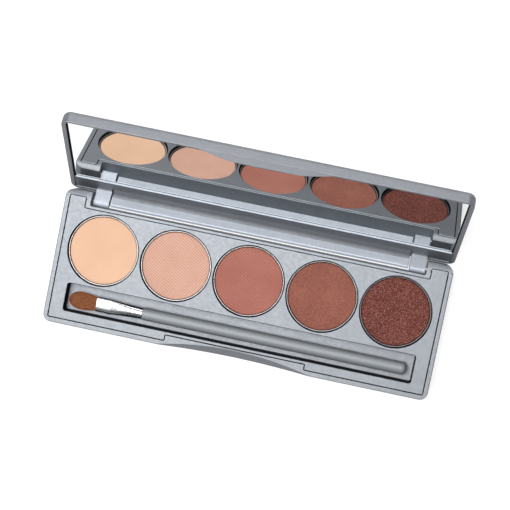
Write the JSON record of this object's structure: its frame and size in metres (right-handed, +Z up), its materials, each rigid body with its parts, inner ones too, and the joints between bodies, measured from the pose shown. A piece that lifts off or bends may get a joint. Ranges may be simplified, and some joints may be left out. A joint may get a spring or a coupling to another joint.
{
  "type": "eyeshadow palette",
  "caption": "Slim hinged palette with a mirrored lid, round pressed-powder pans in a drop-in tray and a flat brush in its trough.",
  "frame": {"origin": "centre of the base's resting face", "axes": "+Z up from the surface the palette lies on, +X along the row of pans, +Y towards the hinge; the lid stands open"},
  "size_m": [0.1442, 0.0779, 0.0436],
  "materials": {
    "silver_plastic": "satin silver metallic",
    "pan_tin": "bright tinplate",
    "pin_steel": "ground steel",
    "glue": "matt adhesive pad",
    "mirror": "silvered glass",
    "powder_peach": "pressed powder, smooth",
    "powder_pink": "pressed powder, fine cross hatch",
    "powder_coral": "pressed powder, fine twill",
    "powder_brown": "pressed powder, fine grain",
    "powder_burgundy": "pressed powder with shimmer",
    "ferrule_chrome": "polished",
    "handle_silver": "satin silver lacquer",
    "bristle": "soft brown hair"
  },
  "bodies": {
    "base": {"base_shell": "silver_plastic", "tray_insert": "silver_plastic", "pan_1": "pan_tin", "powder_1": "powder_peach", "pan_adhesive_1": "glue", "pan_2": "pan_tin", "powder_2": "powder_pink", "pan_adhesive_2": "glue", "pan_3": "pan_tin", "powder_3": "powder_coral", "pan_adhesive_3": "glue", "pan_4": "pan_tin", "powder_4": "powder_brown", "pan_adhesive_4": "glue", "pan_5": "pan_tin", "powder_5": "powder_burgundy", "pan_adhesive_5": "glue", "hinge_pin_left": "pin_steel", "hinge_pin_right": "pin_steel"},
    "lid": {"lid_shell": "silver_plastic", "mirror_glass": "mirror", "mirror_adhesive": "glue"},
    "brush": {"brush_handle": "handle_silver", "brush_ferrule": "ferrule_chrome", "brush_bristles": "bristle"}
  },
  "joints": [
    {"name": "lid_hinge", "type": "hinge", "parent": "base", "child": "lid", "pos_m": [0, 0.0218, 0.0055], "axis": [1, 0, 0], "range_deg": [0, 120.1]},
    {"name": "brush_lift", "type": "slide", "parent": "base", "child": "brush", "axis": [0, 0, 1], "range_m": [0, 0.03]}
  ]
}
